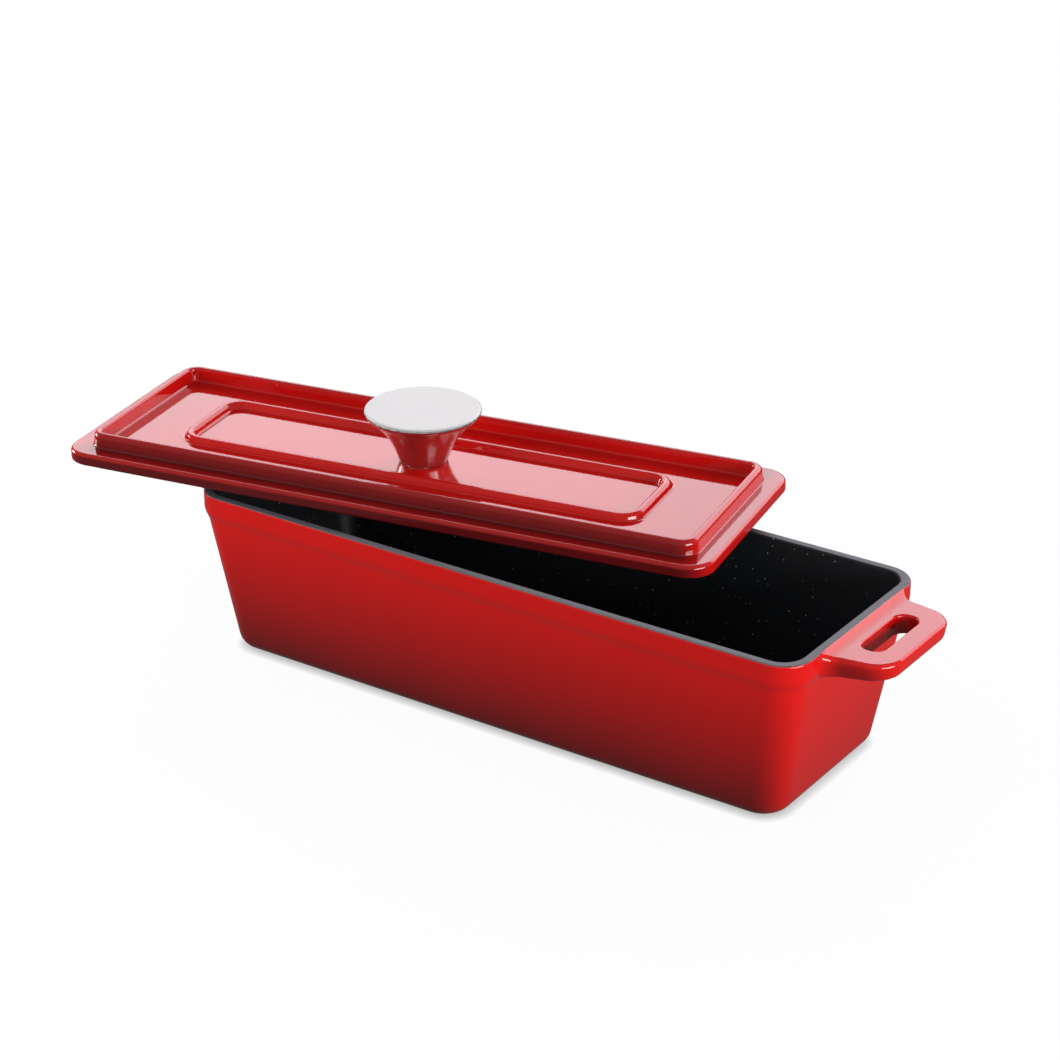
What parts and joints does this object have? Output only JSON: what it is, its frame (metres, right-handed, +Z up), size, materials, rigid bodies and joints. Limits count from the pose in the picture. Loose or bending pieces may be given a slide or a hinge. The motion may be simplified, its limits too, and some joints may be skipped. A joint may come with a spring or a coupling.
{
  "type": "terrine dish",
  "caption": "Long rectangular cast iron terrine dish with slotted end grips and a loose flat lid with a raised rim, a bead and a turned steel knob.",
  "frame": {"origin": "centre of the dish's flat underside, where it stands", "axes": "+X along the dish, away from the end that the lid hangs over, +Y across it, +Z up to the rim"},
  "size_m": [0.3801, 0.1464, 0.1013],
  "materials": {
    "dish_enamel": "glossy red enamel outside, matte black enamel inside",
    "lid_enamel": "glossy red enamel on top, matte black enamel below",
    "knob_steel": "satin, turned",
    "screw_steel": "bright",
    "washer_steel": "bright"
  },
  "bodies": {
    "root": {"dish": "dish_enamel", "lid": "lid_enamel", "knob": "knob_steel", "knob_screw": "screw_steel", "knob_washer": "washer_steel"}
  },
  "joints": []
}
